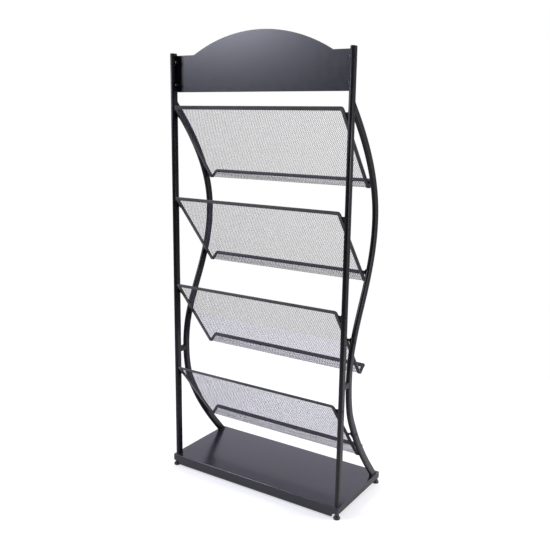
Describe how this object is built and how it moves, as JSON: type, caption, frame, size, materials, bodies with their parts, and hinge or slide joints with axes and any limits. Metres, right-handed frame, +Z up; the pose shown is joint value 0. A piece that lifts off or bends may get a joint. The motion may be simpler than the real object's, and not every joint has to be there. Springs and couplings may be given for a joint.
{
  "type": "magazine display rack",
  "caption": "Floor-standing rack with slanted mesh shelves between straight rear posts and S-shaped front tubes, an arched header and a folded sheet platform on levelling feet.",
  "frame": {"origin": "on the floor, under the centre of the rack's bounding box", "axes": "+Z up; -Y is the reader's side, where magazines are put in; +Y is the back, where the straight posts stand; X runs along the shelves"},
  "size_m": [0.757, 0.3442, 1.668],
  "materials": {
    "frame_coat": "black powder coat, satin",
    "header": "black powder coat, smooth satin",
    "platform": "black powder coat, semi-gloss",
    "mesh": "expanded sheet with fine diamond openings, black powder coat",
    "shelf_frame": "black powder coat, satin",
    "plastic": "moulded, matte",
    "bolt": "black oxide",
    "zinc": "zinc plated"
  },
  "bodies": {
    "rack": {"base_platform": "platform", "base_rail_left": "frame_coat", "base_rail_right": "frame_coat", "curved_tube_left": "frame_coat", "curved_tube_right": "frame_coat", "foot_bolt_post_left": "bolt", "foot_bolt_post_right": "bolt", "foot_bolt_tube_left": "bolt", "foot_bolt_tube_right": "bolt", "header_bolt_lower_left": "bolt", "header_bolt_lower_right": "bolt", "header_bolt_upper_left": "bolt", "header_bolt_upper_right": "bolt", "header_nut_lower_left": "zinc", "header_nut_lower_right": "zinc", "header_nut_upper_left": "zinc", "header_nut_upper_right": "zinc", "header_panel": "header", "link_left": "frame_coat", "link_right": "frame_coat", "post_cap_left": "plastic", "post_cap_right": "plastic", "post_left": "frame_coat", "post_right": "frame_coat", "shelf_bolt_1_post_left": "bolt", "shelf_bolt_1_post_right": "bolt", "shelf_bolt_1_tube_left": "bolt", "shelf_bolt_1_tube_right": "bolt", "shelf_bolt_2_post_left": "bolt", "shelf_bolt_2_post_right": "bolt", "shelf_bolt_2_tube_left": "bolt", "shelf_bolt_2_tube_right": "bolt", "shelf_bolt_3_post_left": "bolt", "shelf_bolt_3_post_right": "bolt", "shelf_bolt_3_tube_left": "bolt", "shelf_bolt_3_tube_right": "bolt", "shelf_bolt_4_post_left": "bolt", "shelf_bolt_4_post_right": "bolt", "shelf_bolt_4_tube_left": "bolt", "shelf_bolt_4_tube_right": "bolt", "shelf_frame_1": "shelf_frame", "shelf_frame_2": "shelf_frame", "shelf_frame_3": "shelf_frame", "shelf_frame_4": "shelf_frame", "shelf_mesh_1": "mesh", "shelf_mesh_2": "mesh", "shelf_mesh_3": "mesh", "shelf_mesh_4": "mesh"},
    "foot_back_left": {"foot_stem_back_left": "zinc", "foot_pad_back_left": "plastic"},
    "foot_back_right": {"foot_stem_back_right": "zinc", "foot_pad_back_right": "plastic"},
    "foot_front_left": {"foot_stem_front_left": "zinc", "foot_pad_front_left": "plastic"},
    "foot_front_right": {"foot_stem_front_right": "zinc", "foot_pad_front_right": "plastic"}
  },
  "joints": [
    {"name": "foot_back_left_screw", "type": "slide", "parent": "rack", "child": "foot_back_left", "axis": [0, 0, 1], "range_m": [-0.01, 0]},
    {"name": "foot_back_right_screw", "type": "slide", "parent": "rack", "child": "foot_back_right", "axis": [0, 0, 1], "range_m": [-0.01, 0]},
    {"name": "foot_front_left_screw", "type": "slide", "parent": "rack", "child": "foot_front_left", "axis": [0, 0, 1], "range_m": [-0.01, 0]},
    {"name": "foot_front_right_screw", "type": "slide", "parent": "rack", "child": "foot_front_right", "axis": [0, 0, 1], "range_m": [-0.01, 0]}
  ]
}
